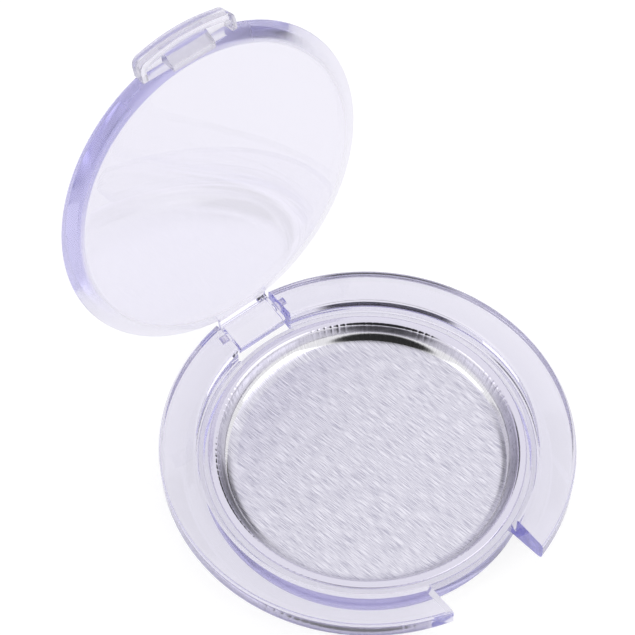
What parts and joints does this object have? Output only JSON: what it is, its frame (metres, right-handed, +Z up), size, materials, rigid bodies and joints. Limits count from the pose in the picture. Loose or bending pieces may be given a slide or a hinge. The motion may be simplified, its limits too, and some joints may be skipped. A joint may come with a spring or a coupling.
{
  "type": "hinged pan case",
  "caption": "Round clear plastic case: flanged tray with a thumb notch and catch ridge, an inset lid on a moulded hinge with a hooked thumb tab, and a shallow drawn metal pan with a rounded lip.",
  "frame": {"origin": "centre of the flat face the tray stands on", "axes": "+Z up, -Y towards the thumb notch, +Y towards the hinge, hinge axis along X; the lid is stored open"},
  "size_m": [0.0476, 0.0566, 0.0476],
  "materials": {
    "clear_tray": "clear polished moulding with a faint lavender tint",
    "clear_lid": "clear polished moulding with a faint lavender tint",
    "pan_metal": "bright drawn wall and lip, brushed floor",
    "glue": "soft translucent glue"
  },
  "bodies": {
    "case": {"tray": "clear_tray", "pan": "pan_metal", "glue_disc": "glue"},
    "cover": {"lid": "clear_lid"}
  },
  "joints": [
    {"name": "lid_hinge", "type": "hinge", "parent": "case", "child": "cover", "pos_m": [0, 0.02167, 0.00449], "axis": [1, 0, 0], "range_deg": [0, 103.4]}
  ]
}
